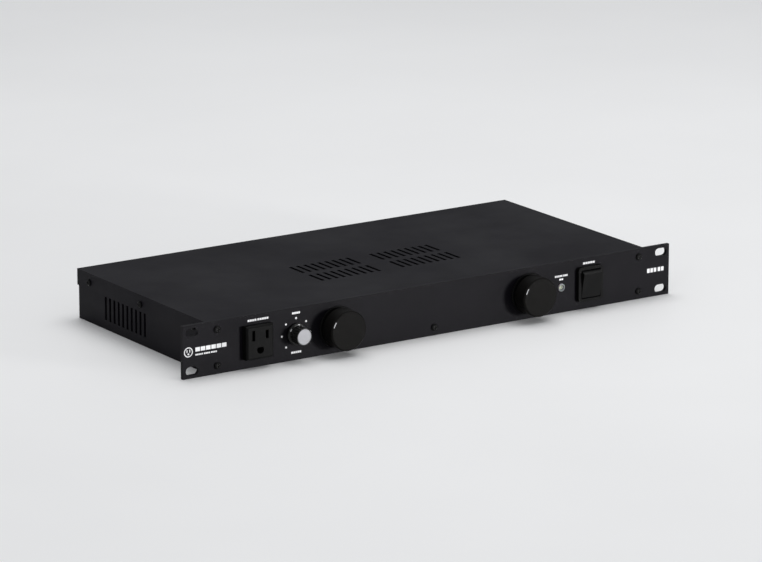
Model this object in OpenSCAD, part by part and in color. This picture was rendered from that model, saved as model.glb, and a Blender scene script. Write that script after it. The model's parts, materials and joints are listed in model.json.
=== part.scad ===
// Rack power strip, one rack unit tall, with two pull-out swivelling work lights.
// X runs to the right as seen from the front, Y runs to the rear and Z runs up.
// The origin is the centre of the four rack slots, on the rear face of the front panel,
// which is the face that bears on the rack rails.

/* [Front panel] */
// Width of the panel, the standard 19 inch rack width
panel_w = 482.6; // [482:0.1:483]
// Height of the panel, a little under one rack unit
panel_h = 44; // [43.8:0.1:44.4]
// Thickness of the panel
panel_t = 3.2; // [2.8:0.1:3.4]
// Distance between the two columns of rack slots
slot_pitch_x = 465.1; // [465:0.1:465.2]
// Distance between the two rows of rack slots
slot_pitch_z = 31.75; // [31.7:0.05:31.8]
// End to end length of a rack slot
slot_len = 12; // [10:0.1:13]
// Half of the width of a rack slot
slot_r = 3.5; // [3.2:0.1:3.6]

/* [Chassis] */
// Width of the chassis behind the panel
chassis_w = 432; // [428:0.5:434]
// Depth of the chassis behind the panel
chassis_d = 206; // [204:0.5:240]
// Thickness of the chassis sheet
sheet = 1.2; // [1:0.1:1.4]

/* [Work lights] */
// Distance of each light from the middle of the panel
light_x = 95; // [93:0.5:97]
// How far a light slides out of the panel
light_travel = 95; // [80:1:95]
// Outer radius of the light tube
tube_r = 14; // [13.8:0.05:14.2]
// Radius of the cap on the front of the tube
cap_r = 16.8; // [16.5:0.1:17]
// How far the cap stands out of the panel when the light is pushed in
cap_out = 17.8; // [16:0.1:19]
// Direction that the lamp window faces, anticlockwise from +X
window_angle = 270; // [0:1:360]

/* [Outlets] */
// Width of the raised face of an outlet
outlet_w = 25.8; // [25.4:0.1:28]
// Height of the raised face of an outlet
outlet_h = 28; // [27.5:0.1:29]
// How far the face of the front outlet stands out
front_outlet_out = 6.5; // [3:0.1:8]
// How far the faces of the rear outlets stand out
rear_outlet_out = 2.5; // [2:0.1:4]
// Place of the front outlet along the panel
front_outlet_x = -172.4; // [-174:0.1:-172]
// Distance from one rear outlet to the next
rear_pitch = 40; // [38:0.5:41]

/* [Dimmer] */
// Place of the dimmer along the panel
dimmer_x = -134.6; // [-136:0.1:-132]
// Radius of the gripped part of the knob
knob_r = 7.5; // [7.2:0.1:7.6]
// How far the knob stands out of the panel
knob_out = 12.7; // [11:0.1:14]
// Clockwise turn of the pointer from straight up
pointer_angle = 5; // [-135:5:135]

/* [Switch] */
// Place of the switch along the panel
switch_x = 157; // [156:0.1:158]
// Width of the bezel around the rocker
bezel_w = 25.6; // [25:0.1:27]
// Height of the bezel around the rocker
bezel_h = 30; // [29.5:0.1:31]
// How far the bezel stands out of the panel
bezel_out = 3.6; // [3.5:0.1:4.5]
// Tilt of the rocker to each side of its middle place
rocker_tilt = 10; // [8:0.5:11]

/* [Indicator and rear fittings] */
// Place of the indicator along the panel
led_x = 128.5; // [127:0.1:130]
// Outer radius of the ring around the indicator
led_ring_r = 3.4; // [3.3:0.05:4]
// Place of the circuit breaker along the rear wall
breaker_x = 165; // [160:0.5:168]
// Place of the cord gland along the rear wall
gland_x = 195; // [192:0.5:198]
// Radius of the hole for the cord
cord_r = 4.9; // [4.5:0.1:5]

/* [Hidden] */
$fn = 48;

black = "#1d1d20";
brass = "#c9a14a";
steel = "#b8bbc0";

// Levels shared by several parts
front = -panel_t;
floor_z = -panel_h / 2;
deck_z = floor_z + sheet;
lid_z = 21;
wall_top = lid_z - sheet;
side_x = chassis_w / 2;
rear_y = chassis_d;
past = 1;
seat_gap = 0.1;
move_gap = 0.3;
run_gap = 0.06;
thread_gap = 0.05;
neck_gap = 0.2;
screw_gap = 0.25;

// Screws that hold the panel and the cover to the tray
panel_screw_x = 209.2;
panel_screw_z = 15;
screw_shank_r = 1.45;
cover_screw_z = 13;
cover_screw_ys = [20, 103, 186];
flange_w = 16;
tab_w = 24;
tab_h = 12;

// Upright barrier on the tray floor, in front of the rear outlets
barrier_xs = [-200, 150];
barrier_y = 165;
barrier_top = -3;

// Cover skirt and vents
cover_x = side_x + sheet + neck_gap;
cover_skirt_h = 14;
vent_pitch = 7;
side_vent = [3, 8, 20];
side_vent_count = 10;
side_vent_at = [130, -4];
cover_vent = [3, 22, 8];
cover_vent_count = 9;
cover_vent_xs = [-40, 40];
cover_vent_ys = [70, 100];

// Light tubes, from the cap back to the slider
bush_bore_r = tube_r + seat_gap;
bush_r = 15.9;
bush_flange_r = 17.4;
bush_flange_t = 1.4;
bush_rear = 8;
retainer_r = 10.4;
tube_bore_r = 12.7;
tube_rear = 118;
cap_front = front - cap_out;
cap_disc = 2.8;
cap_rear = -7.5;
window_y = [24, 80];
window_w = 17;
retainer_y = [102, 104];
slider_disc_y = retainer_y[1] + move_gap;
slider_flange_y = tube_rear + move_gap;
slider_flange_t = 3.2;
foot_y = [slider_flange_y, slider_flange_y + 9.7];
foot_half_w = 4.85;
rail_half_w = 7;
rail_top = -15.8;
rail_floor = deck_z + 1;
socket_r = 9.6;
socket_bore_r = 6.2;
socket_y = 80;
bulb_base_r = 5.9;
bulb_base_end = 91;
bulb_neck_y = 74;
bulb_tip_y = 34;
bulb_belly_r = 10.4;
lead_hole_r = 2.2;

// Outlets: two blade slots over a ground hole, all in the outlet's own frame,
// where Y = 0 is the outer surface of the wall that the outlet sits in
outlet_body_w = 24.4;
outlet_body_h = 25.8;
outlet_body_d = 22;
outlet_chamfer = 1.4;
blade_x = 6.35;
blade_z = 6;
blade_slot_w = 2.4;
neutral_slot_h = 8.4;
line_slot_h = 6.8;
slot_depth = 4;
blade_pocket = [4, 9.6];
ground_z = -6.2;
ground_r = 3.1;
ground_flat_z = -4.1;
ground_depth = 8;
ground_pocket_r = 3.8;
fork_z = [3, 9];
fork_leaf = 0.5;
fork_half_w = 1.3;
fork_tip = 6;
fork_base = [20, 21.4];
ground_ring_r = [2.5, 3.3];
ground_ring_y = [10, 20, 21.2];
tab_half_t = 0.4;
tab_end = 31;
rear_xs = [for (i = [0:7]) -170 + i * rear_pitch];

// Bus bars: distance of the near face from the rear wall, then lower and upper edge
bus_t = 0.8;
bus_end = 12;
line_bar = [29, 8, 14];
neutral_bar = [26, -2, 4];
ground_bar = [27.5, -14, -8];
stem_lap = 0.4;

// Dimmer
shaft_r = 3;
bushing_r = 3.5;
bushing_front = -8;
skirt_r = 9;
skirt_rear = front - 0.8;
skirt_front = skirt_rear - 2.4;
nut_room_r = 6.8;
nut_room_y = -6.6;
bushing_room_r = 4.3;
knob_front = front - knob_out;
inlay_r = 6.4;
inlay_t = 1.1;
shaft_front = knob_front + 2.5;
shaft_end = 7;
pot_r = 8.5;
pot_d = 9;
pot_nut_r = 5.8;
pot_nut_t = 2.4;
flute_r = 0.9;
flute_step = 20;
pointer_w = 1;

// Switch
pivot_y = front;
rocker_w = 19;
rocker_r = 12.1;
rocker_middle = 4.9;
rocker_dish = 0.6;
rocker_back = 4;
pin_r = 1.2;
well = [19.6, 24.8];
switch_body = [21.8, 27.2];
switch_rear = 22;
terminal_xs = [-5.2, 5.2];
terminal_zs = [-6, 6];
terminal = [0.8, 8, 6.3];
bezel_corner_r = 3;
well_rear = 6;
rocker_end = rocker_r + past;
rocker_edge = rocker_middle + rocker_dish;

// Indicator
led_neck_r = led_ring_r - 0.55;
led_lens_r = 2.5;
led_bore_r = led_lens_r + 0.05;
led_ring_front = front - 1.3;
led_ring_end = 4;
led_lens_end = 6;

// Circuit breaker and cord gland
breaker_neck_r = 4.76;
breaker_neck_end = rear_y + 8;
breaker_depth = 28;
breaker_body_w = 15;
breaker_body_h = 16;
rear_nut_r = 8;
rear_nut_t = 3;
button_r = 3.5;
button_out = 3.6;
button_rear = rear_y - 19;
gland_thread_r = 7.9;
gland_inner = rear_y - 16;
gland_outer = rear_y + 18;
gland_flange_r = 11;
gland_flange_t = 5;
gland_tip_r = 7;
gland_nut_r = 11.5;
gland_nut_t = 5;

// Surge board and what stands on it
board_x = 62;
board_y = [25, 120];
board_z = -13;
board_t = 1.6;
board_top = board_z + board_t;
board_holes = [for (x = [-54, 54], y = [33, 112]) [x, y]];
choke_at = [-20, 86];
choke_r = [7, 13];
choke_z = [board_top + 1.6, board_top + 10.6];
choke_turns = 14;
board_hole_r = 1.7;
standoff_r = 3.2;
varistor_xs = [-44, -26, -8];
varistor_y = 50;
varistor_r = 7;
varistor_t = 4.4;
pin_half_pitch = 2.5;
capacitor_low = [12, 44, board_top];
capacitor_high = [40, 56, board_top + 20];

// Insulated leads, and the heights at which they run
lead_r = 1.4;
elbow_r = 1.5;
lead_low = -17;
lead_mid = -5;
bond_y = 172;

// Box between two opposite corners
module box(low, high) translate(low) cube(high - low);

// Round bar or hole along Y
module bar_y(r, y0, y1) translate([0, y0, 0]) rotate([-90, 0, 0]) cylinder(r = r, h = y1 - y0);

// Hexagonal bar along Y
module hex_y(r, y0, y1) translate([0, y0, 0]) rotate([-90, 0, 0]) cylinder(r = r, h = y1 - y0, $fn = 6);

// Block with rounded corners as seen along Y
module rounded_y(w, h, r, y0, y1) {
    box([r - w / 2, y0, -h / 2], [w / 2 - r, y1, h / 2]);
    box([-w / 2, y0, r - h / 2], [w / 2, y1, h / 2 - r]);
    for (x = [-1, 1] * (w / 2 - r), z = [-1, 1] * (h / 2 - r))
        translate([x, 0, z]) bar_y(r, y0, y1);
}

// Solid turned about the Y axis from an outline of [radius, y] points
module turned(outline) rotate([-90, 0, 0]) rotate_extrude() polygon(outline);

// Prism along X from an outline of [z, y] points
module prism_x(w, outline) rotate([0, -90, 0]) linear_extrude(w, center = true) polygon(outline);

// Pan head screw along Y, with its head in front of Y = 0 and a cross recess
module screw(head_r, head_h, length) {
    recess = [0.9, 3.4];
    difference() {
        turned([[0, -head_h], [head_r * 0.62, -head_h], [head_r, -head_h * 0.45], [head_r, 0],
                [screw_shank_r, 0], [screw_shank_r, length], [0, length]]);
        for (turn = [0, 90])
            rotate([0, turn, 0])
                box([-recess[0] / 2, -head_h - past, -recess[1] / 2],
                    [recess[0] / 2, -head_h * 0.35, recess[1] / 2]);
    }
}

module at_lights() for (side = [-1, 1]) translate([side * light_x, 0, 0]) children();

module at_panel_screws() {
    for (x = [-1, 1] * panel_screw_x, z = [-1, 1] * panel_screw_z)
        translate([x, 0, z]) children();
    translate([0, 0, -panel_screw_z]) children();
}

module at_cover_screws()
    for (side = [-1, 1], y = cover_screw_ys)
        translate([side * cover_x, y, cover_screw_z])
            rotate([0, 0, side * 90]) children();

// ---- Panel and chassis ----

module rack_slot() {
    half = slot_len / 2 - slot_r;
    box([-half, front - past, -slot_r], [half, past, slot_r]);
    for (x = [-half, half]) translate([x, 0, 0]) bar_y(slot_r, front - past, past);
}

module front_panel() color(black) difference() {
    box([-panel_w / 2, front, -panel_h / 2], [panel_w / 2, 0, panel_h / 2]);
    for (x = [-1, 1] * slot_pitch_x / 2, z = [-1, 1] * slot_pitch_z / 2)
        translate([x, 0, z]) rack_slot();
    at_panel_screws() bar_y(screw_shank_r + screw_gap, front - past, past);
    at_lights() bar_y(bush_r + seat_gap, front - past, past);
    translate([front_outlet_x, 0, 0])
        box([-outlet_body_w / 2 - seat_gap, front - past, -outlet_body_h / 2 - seat_gap],
            [outlet_body_w / 2 + seat_gap, past, outlet_body_h / 2 + seat_gap]);
    translate([dimmer_x, 0, 0]) bar_y(bushing_r + neck_gap, front - past, past);
    translate([led_x, 0, 0]) bar_y(led_neck_r + seat_gap, front - past, past);
    translate([switch_x, 0, 0])
        box([-switch_body[0] / 2 - seat_gap, front - past, -switch_body[1] / 2 - seat_gap],
            [switch_body[0] / 2 + seat_gap, past, switch_body[1] / 2 + seat_gap]);
}

module vent_row(count, slot)
    for (i = [0:count - 1])
        translate([(i - (count - 1) / 2) * vent_pitch, 0, 0]) cube(slot, center = true);

module chassis_tray() color(steel) difference() {
    union() {
        box([-side_x, 0, floor_z], [side_x, rear_y, deck_z]);
        box([-side_x, rear_y - sheet, floor_z], [side_x, rear_y, wall_top]);
        for (side = [0, 1]) mirror([side, 0, 0]) {
            box([side_x - sheet, 0, floor_z], [side_x, rear_y, wall_top]);
            box([side_x - flange_w, 0, floor_z], [side_x, sheet, wall_top]);
        }
        box([-tab_w / 2, 0, floor_z], [tab_w / 2, sheet, deck_z + tab_h]);
        box([barrier_xs[0], barrier_y, floor_z], [barrier_xs[1], barrier_y + sheet, barrier_top]);
    }
    at_panel_screws() bar_y(screw_shank_r + thread_gap, -past, sheet + past);
    at_cover_screws() bar_y(screw_shank_r + thread_gap, 0, 3 * sheet);
    for (x = rear_xs)
        translate([x, rear_y, 0])
            box([-outlet_body_w / 2 - seat_gap, -sheet - past, -outlet_body_h / 2 - seat_gap],
                [outlet_body_w / 2 + seat_gap, past, outlet_body_h / 2 + seat_gap]);
    translate([breaker_x, 0, 0]) bar_y(breaker_neck_r + neck_gap, rear_y - sheet - past, rear_y + past);
    translate([gland_x, 0, 0]) bar_y(gland_thread_r + neck_gap, rear_y - sheet - past, rear_y + past);
    for (side = [-1, 1])
        translate([side * side_x, side_vent_at[0], side_vent_at[1]])
            rotate([0, 0, 90]) vent_row(side_vent_count, side_vent);
}

module top_cover() color(steel) difference() {
    union() {
        box([-cover_x, 0, wall_top], [cover_x, rear_y, lid_z]);
        for (side = [0, 1]) mirror([side, 0, 0])
            box([cover_x - sheet, 0, lid_z - cover_skirt_h], [cover_x, rear_y, lid_z]);
    }
    at_cover_screws() bar_y(screw_shank_r + screw_gap, -past, 2 * sheet);
    for (x = cover_vent_xs, y = cover_vent_ys)
        translate([x, y, lid_z]) vent_row(cover_vent_count, cover_vent);
}

module panel_screws() color("#26262a") translate([0, front, 0]) at_panel_screws() screw(3, 1.8, 8);

module cover_screws() color("#26262a") at_cover_screws() screw(2.8, 1.7, 6);

// ---- Outlets and bus bars ----

module outlet_housing(out) color("#151517") difference() {
    union() {
        intersection() {
            linear_extrude(outlet_h, center = true) polygon(face_outline(outlet_w, out));
            prism_x(outlet_w, face_outline(outlet_h, out));
        }
        box([-outlet_body_w / 2, 0, -outlet_body_h / 2],
            [outlet_body_w / 2, outlet_body_d, outlet_body_h / 2]);
    }
    blade_hole(-blade_x, neutral_slot_h, out);
    blade_hole(blade_x, line_slot_h, out);
    intersection() {
        translate([0, 0, ground_z]) bar_y(ground_r, -out - past, ground_depth);
        box([-outlet_w, -out - past, -outlet_h], [outlet_w, ground_depth, ground_flat_z]);
    }
    translate([0, 0, ground_z]) bar_y(ground_pocket_r, ground_depth, outlet_body_d + past);
}

// Outline across a raised face, with its front edges chamfered
function face_outline(w, out) = let (c = outlet_chamfer) [
    [-w / 2, 0], [-w / 2, c - out], [c - w / 2, -out], [w / 2 - c, -out], [w / 2, c - out], [w / 2, 0]];

module blade_hole(x, slot_h, out) translate([x, 0, blade_z]) {
    box([-blade_slot_w / 2, -out - past, -slot_h / 2], [blade_slot_w / 2, slot_depth + past, slot_h / 2]);
    box([-blade_pocket[0] / 2, slot_depth, -blade_pocket[1] / 2],
        [blade_pocket[0] / 2, outlet_body_d + past, blade_pocket[1] / 2]);
}

// Two leaves that grip a plug's blade, on a stem that runs back to stem_end
module fork(stem_z, stem_end) {
    for (side = [0, 1]) mirror([side, 0, 0])
        box([fork_half_w - fork_leaf, fork_tip, fork_z[0]], [fork_half_w, fork_base[1], fork_z[1]]);
    box([-fork_half_w, fork_base[0], fork_z[0]], [fork_half_w, fork_base[1], fork_z[1]]);
    box([-tab_half_t, fork_base[0], stem_z[0]], [tab_half_t, stem_end, stem_z[1]]);
}

// Sleeve that grips a plug's ground pin, on a stem that runs back to stem_end
module sleeve(stem_end) {
    translate([0, 0, ground_z]) difference() {
        bar_y(ground_ring_r[1], ground_ring_y[0], ground_ring_y[2]);
        bar_y(ground_ring_r[0], ground_ring_y[0] - past, ground_ring_y[1]);
    }
    box([-tab_half_t, ground_ring_y[1] + 0.2, ground_z - 3], [tab_half_t, stem_end, ground_z]);
}

module front_outlet() translate([front_outlet_x, front, 0]) outlet_housing(front_outlet_out);

module front_contacts() color(brass) translate([front_outlet_x, front, 0]) {
    for (x = [-blade_x, blade_x]) translate([x, 0, 0]) fork(fork_z, tab_end);
    sleeve(tab_end);
}

module rear_outlet(i) at_rear_outlet(i) outlet_housing(rear_outlet_out);

module at_rear_outlet(i) translate([rear_xs[i - 1], rear_y, 0]) rotate([0, 0, 180]) children();

// Flat bar behind the rear outlets, from end to end of the row
module bus_bar(bar)
    box([rear_xs[0] - bus_end, rear_y - bar[0] - bus_t, bar[1]],
        [rear_xs[7] + bus_end, rear_y - bar[0], bar[2]]);

module line_bus() color(brass) {
    bus_bar(line_bar);
    for (i = [1:8]) at_rear_outlet(i)
        translate([blade_x, 0, 0]) fork([5, 9], line_bar[0] + stem_lap);
}

module neutral_bus() color(brass) {
    bus_bar(neutral_bar);
    for (i = [1:8]) at_rear_outlet(i)
        translate([-blade_x, 0, 0]) fork([3, 7], neutral_bar[0] + stem_lap);
}

module ground_bus() color(brass) {
    bus_bar(ground_bar);
    for (i = [1:8]) at_rear_outlet(i) sleeve(ground_bar[0] + stem_lap);
}

// ---- Dimmer ----

module dimmer_pot() color("#3a3d42") translate([dimmer_x, 0, 0]) difference() {
    turned([[0, bushing_front], [bushing_r, bushing_front], [bushing_r, 0],
            [pot_r, 0], [pot_r, pot_d], [0, pot_d]]);
    bar_y(shaft_r + run_gap, bushing_front - past, shaft_end + move_gap);
}

module dimmer_nut() color(steel) translate([dimmer_x, 0, 0]) difference() {
    hex_y(pot_nut_r, front - pot_nut_t, front);
    bar_y(bushing_r + thread_gap, front - pot_nut_t - past, front + past);
}

module dimmer_shaft() color(steel) translate([dimmer_x, 0, 0]) bar_y(shaft_r, shaft_front, shaft_end);

module dimmer_knob() color(black) translate([dimmer_x, 0, 0]) difference() {
    union() {
        turned([[0, knob_front], [knob_r - 0.8, knob_front], [knob_r - 0.3, knob_front + 0.6],
                [knob_r, skirt_front], [skirt_r - 0.8, skirt_front], [skirt_r, skirt_front + 0.8],
                [skirt_r, skirt_rear], [nut_room_r, skirt_rear], [nut_room_r, nut_room_y],
                [bushing_room_r, nut_room_y], [bushing_room_r, bushing_front - 0.6],
                [0, bushing_front - 0.6]]);
        rotate([0, pointer_angle, 0])
            box([-pointer_w / 2, skirt_front - 0.3, knob_r - 0.5],
                [pointer_w / 2, skirt_front + 0.5, skirt_r - 0.9]);
    }
    bar_y(inlay_r + thread_gap, knob_front - past, knob_front + inlay_t);
    bar_y(shaft_r + 0.02, shaft_front - 0.2, 0);
    for (turn = [0:flute_step:359])
        rotate([0, turn, 0]) translate([knob_r + 0.5, 0, 0])
            bar_y(flute_r, knob_front - past, skirt_front - 0.8);
}

module dimmer_cap() color("#d8d9dc") translate([dimmer_x, 0, 0])
    bar_y(inlay_r, knob_front, knob_front + inlay_t);

// ---- Switch ----

module switch_housing() color("#151517") translate([switch_x, 0, 0]) difference() {
    union() {
        rounded_y(bezel_w, bezel_h, bezel_corner_r, front - bezel_out, front);
        box([-switch_body[0] / 2, front, -switch_body[1] / 2],
            [switch_body[0] / 2, switch_rear, switch_body[1] / 2]);
    }
    box([-well[0] / 2, front - bezel_out - past, -well[1] / 2], [well[0] / 2, well_rear, well[1] / 2]);
    translate([-switch_body[0] / 2 - past, pivot_y, 0]) rotate([0, 90, 0])
        cylinder(r = pin_r + 0.02, h = switch_body[0] + 2 * past);
}

module switch_rocker() color("#101012") translate([switch_x, pivot_y, 0])
    rotate([rocker_tilt, 0, 0]) difference() {
        intersection() {
            prism_x(rocker_w, [[0, -rocker_middle], [rocker_end, -rocker_edge], [rocker_end, rocker_back],
                               [-rocker_end, rocker_back], [-rocker_end, -rocker_edge]]);
            rotate([0, 90, 0]) cylinder(r = rocker_r, h = rocker_w + 2 * past, center = true);
        }
        rotate([0, 90, 0]) cylinder(r = pin_r + run_gap, h = rocker_w + 2 * past, center = true);
    }

module switch_pin() color(steel) translate([switch_x, pivot_y, 0]) rotate([0, 90, 0])
    cylinder(r = pin_r, h = switch_body[0] - 0.2, center = true);

module switch_terminals() color(brass)
    for (x = terminal_xs, z = terminal_zs)
        translate([switch_x + x, switch_rear, z])
            box([-terminal[0] / 2, 0, -terminal[2] / 2], [terminal[0] / 2, terminal[1], terminal[2] / 2]);

// ---- Indicator ----

module led_ring() color("#b9bbbf") translate([led_x, 0, 0])
    turned([[led_bore_r, led_ring_front], [led_ring_r - 0.5, led_ring_front], [led_ring_r, front - 0.6],
            [led_ring_r, front], [led_neck_r, front], [led_neck_r, led_ring_end],
            [led_bore_r, led_ring_end]]);

module led_lens() color("#e6f0e8") translate([led_x, 0, 0])
    turned(concat([[0, led_lens_end], [led_lens_r, led_lens_end]],
                  [for (a = [0:15:90]) [led_lens_r * cos(a), front - 0.3 - 1.5 * sin(a)]]));

// ---- Work lights ----

module light_bushes() color("#151517") at_lights()
    turned([[bush_bore_r, front - bush_flange_t], [bush_flange_r - 0.5, front - bush_flange_t],
            [bush_flange_r, front - bush_flange_t + 0.5], [bush_flange_r, front],
            [bush_r, front], [bush_r, bush_rear], [bush_bore_r, bush_rear]]);

module light_rails() color("#2a2a2e") at_lights() difference() {
    box([-rail_half_w, 12, deck_z], [rail_half_w, foot_y[1] + 6, rail_top]);
    box([-foot_half_w - move_gap, foot_y[0] - light_travel - 0.4, rail_floor],
        [foot_half_w + move_gap, foot_y[1] + 0.4, 0]);
}

// Block that a window takes out of the tube, opening towards window_angle
module window_block(clear) rotate([0, -window_angle, 0])
    box([tube_r - 5, window_y[0] + clear, clear - window_w / 2],
        [tube_r + past, window_y[1] - clear, window_w / 2 - clear]);

module light_tube() color("#45474c") difference() {
    turned([[tube_bore_r, cap_front + cap_disc + 0.1], [tube_r, cap_front + cap_disc + 0.1],
            [tube_r, tube_rear], [tube_bore_r, tube_rear]]);
    window_block(0);
}

module light_cap() color(black)
    turned([[0, cap_front], [cap_r - 0.8, cap_front], [cap_r, cap_front + 0.8], [cap_r, cap_rear],
            [tube_r + 0.05, cap_rear], [tube_r + 0.05, cap_front + cap_disc], [0, cap_front + cap_disc]]);

module light_window() color("#eef0ea") intersection() {
    turned([[tube_bore_r + 0.1, window_y[0]], [tube_r - 0.1, window_y[0]],
            [tube_r - 0.1, window_y[1]], [tube_bore_r + 0.1, window_y[1]]]);
    window_block(0.1);
}

module light_retainer() color(steel)
    turned([[retainer_r, retainer_y[0]], [tube_bore_r - 0.02, retainer_y[0]],
            [tube_bore_r - 0.02, retainer_y[1]], [retainer_r, retainer_y[1]]]);

module light_slider() color("#e4e2da") difference() {
    flange_end = slider_flange_y + slider_flange_t;
    union() {
        turned([[0, slider_disc_y], [tube_bore_r - run_gap, slider_disc_y],
                [tube_bore_r - run_gap, slider_flange_y], [tube_r - 0.2, slider_flange_y],
                [tube_r - 0.2, flange_end], [0, flange_end]]);
        box([-foot_half_w, foot_y[0], rail_floor + move_gap], [foot_half_w, foot_y[1], -10]);
    }
    bar_y(lead_hole_r, slider_disc_y - past, foot_y[1] + past);
}

module light_socket() color("#1a1412") difference() {
    bar_y(socket_r, socket_y, slider_disc_y);
    bar_y(socket_bore_r, socket_y - past, socket_y + 12);
    bar_y(lead_hole_r, socket_y, slider_disc_y + past);
}

module bulb_base() color(brass)
    turned([[0, bulb_neck_y], [bulb_base_r, bulb_neck_y], [bulb_base_r, bulb_base_end - 2],
            [bulb_base_r / 2, bulb_base_end], [0, bulb_base_end]]);

// Radius of the bulb, from 0 at its tip to 1 at its neck
function bulb_outline(s) = bulb_belly_r * pow(sin(152 * s), 0.75);

module bulb() color("#f2efe4") {
    n = 16;
    skin = 0.8;
    length = bulb_neck_y - bulb_tip_y;
    outer = [for (i = [0:n]) [bulb_outline(i / n), bulb_tip_y + length * i / n]];
    inner = [for (i = [n:-1:0]) [0.9 * bulb_outline(i / n), bulb_tip_y + skin + (length - skin) * i / n]];
    turned(concat(outer, inner));
}

module left() translate([-light_x, 0, 0]) children();
module right() translate([light_x, 0, 0]) children();

// ---- Surge board, breaker, gland and leads ----

module surge_board() color("#2f6b45") difference() {
    box([-board_x, board_y[0], board_z], [board_x, board_y[1], board_top]);
    for (at = board_holes)
        translate([at[0], at[1], board_z - past]) cylinder(r = board_hole_r, h = board_t + 2 * past);
}

module board_standoffs() color(steel) for (at = board_holes) translate([at[0], at[1], 0]) difference() {
    translate([0, 0, deck_z]) cylinder(r = standoff_r, h = board_z - deck_z, $fn = 6);
    translate([0, 0, deck_z + 1]) cylinder(r = screw_shank_r + thread_gap, h = board_z - deck_z);
}

module board_screws() color(steel)
    for (at = board_holes) translate([at[0], at[1], board_top]) rotate([-90, 0, 0]) screw(2.8, 1.7, 6);

module varistors() color("#2d5fa8") for (x = varistor_xs) translate([x, varistor_y, 0]) {
    translate([0, 0, board_top + varistor_r + 2]) bar_y(varistor_r, -varistor_t / 2, varistor_t / 2);
    for (pin = [-1, 1] * pin_half_pitch) translate([pin, 0, board_top]) cylinder(r = 0.5, h = 4);
}

module filter_capacitor() color("#d6c23a") box(capacitor_low, capacitor_high);

module choke_core() color("#4d5a3c") translate([choke_at[0], choke_at[1], choke_z[0]]) difference() {
    cylinder(r = choke_r[1], h = choke_z[1] - choke_z[0]);
    translate([0, 0, -past]) cylinder(r = choke_r[0], h = choke_z[1] - choke_z[0] + 2 * past);
}

module choke_winding() color("#b5672d") translate([choke_at[0], choke_at[1], 0])
    for (i = [0:choke_turns - 1]) rotate([0, 0, i * 360 / choke_turns]) difference() {
        box([choke_r[0] - 1.2, -0.6, choke_z[0] - 1.2], [choke_r[1] + 1.2, 0.6, choke_z[1] + 1.2]);
        box([choke_r[0] - 0.3, -past, choke_z[0] - 0.3], [choke_r[1] + 0.3, past, choke_z[1] + 0.3]);
    }

// Insulated lead through a list of corner points
module lead(points) {
    for (i = [0:len(points) - 2]) {
        step = points[i + 1] - points[i];
        translate(points[i])
            rotate([0, acos(step[2] / norm(step)), atan2(step[1], step[0])])
                cylinder(r = lead_r, h = norm(step));
    }
    for (i = [1:len(points) - 2]) translate(points[i]) sphere(r = elbow_r);
}

module power_leads() color("#8c1f1f") {
    in_x = switch_x + terminal_xs[1];
    out_x = switch_x + terminal_xs[0];
    end_y = switch_rear + terminal[1];
    end_z = terminal_zs[0];
    line_z = (line_bar[1] + line_bar[2]) / 2;
    neutral_z = (neutral_bar[1] + neutral_bar[2]) / 2;
    ground_bar_z = (ground_bar[1] + ground_bar[2]) / 2;
    lead([[in_x, rear_y - sheet - breaker_depth, end_z], [in_x, 150, end_z], [in_x, 150, lead_low],
          [in_x, 42, lead_low], [in_x, 42, end_z], [in_x, end_y, end_z]]);
    lead([[out_x, end_y, end_z], [out_x, 38, end_z], [out_x, 38, lead_low], [out_x, 142, lead_low],
          [46, 142, lead_low], [46, 142, lead_mid], [46, 117, lead_mid], [46, 117, board_top]]);
    lead([[-30, 116, board_top], [-30, 116, lead_mid], [-30, 150, lead_mid], [-30, 150, line_z],
          [-30, rear_y - line_bar[0] - bus_t, line_z]]);
    lead([[0, 116, board_top], [0, 116, lead_mid], [0, 158, lead_mid], [0, 158, neutral_z],
          [0, rear_y - neutral_bar[0] - bus_t, neutral_z]]);
    lead([[20, rear_y - ground_bar[0] - bus_t, ground_bar_z], [20, bond_y, ground_bar_z],
          [20, bond_y, deck_z]]);
}

module breaker_body() color(black) translate([breaker_x, 0, 0]) difference() {
    union() {
        box([-breaker_body_w / 2, rear_y - sheet - breaker_depth, -breaker_body_h / 2],
            [breaker_body_w / 2, rear_y - sheet, breaker_body_h / 2]);
        bar_y(breaker_neck_r, rear_y - sheet - past, breaker_neck_end);
    }
    bar_y(button_r + run_gap, button_rear - past, breaker_neck_end + past);
}

module breaker_nut() color(steel) translate([breaker_x, rear_y, 0]) difference() {
    hex_y(rear_nut_r, 0, rear_nut_t);
    bar_y(breaker_neck_r + thread_gap, -past, rear_nut_t + past);
}

module breaker_button() color("#c8c8c8") translate([breaker_x, 0, 0])
    turned([[0, button_rear], [button_r, button_rear], [button_r, breaker_neck_end + button_out - 0.6],
            [button_r - 0.6, breaker_neck_end + button_out], [0, breaker_neck_end + button_out]]);

module cord_gland() color("#151517") translate([gland_x, 0, 0])
    turned([[cord_r, gland_inner], [gland_thread_r, gland_inner], [gland_thread_r, rear_y],
            [gland_flange_r, rear_y], [gland_flange_r, rear_y + gland_flange_t],
            [gland_flange_r - 1.5, rear_y + gland_flange_t + 2], [gland_tip_r, gland_outer],
            [cord_r, gland_outer]]);

module gland_nut() color("#151517") translate([gland_x, rear_y - sheet - gland_nut_t, 0]) difference() {
    hex_y(gland_nut_r, 0, gland_nut_t);
    bar_y(gland_thread_r + thread_gap, -past, gland_nut_t + past);
}

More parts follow.
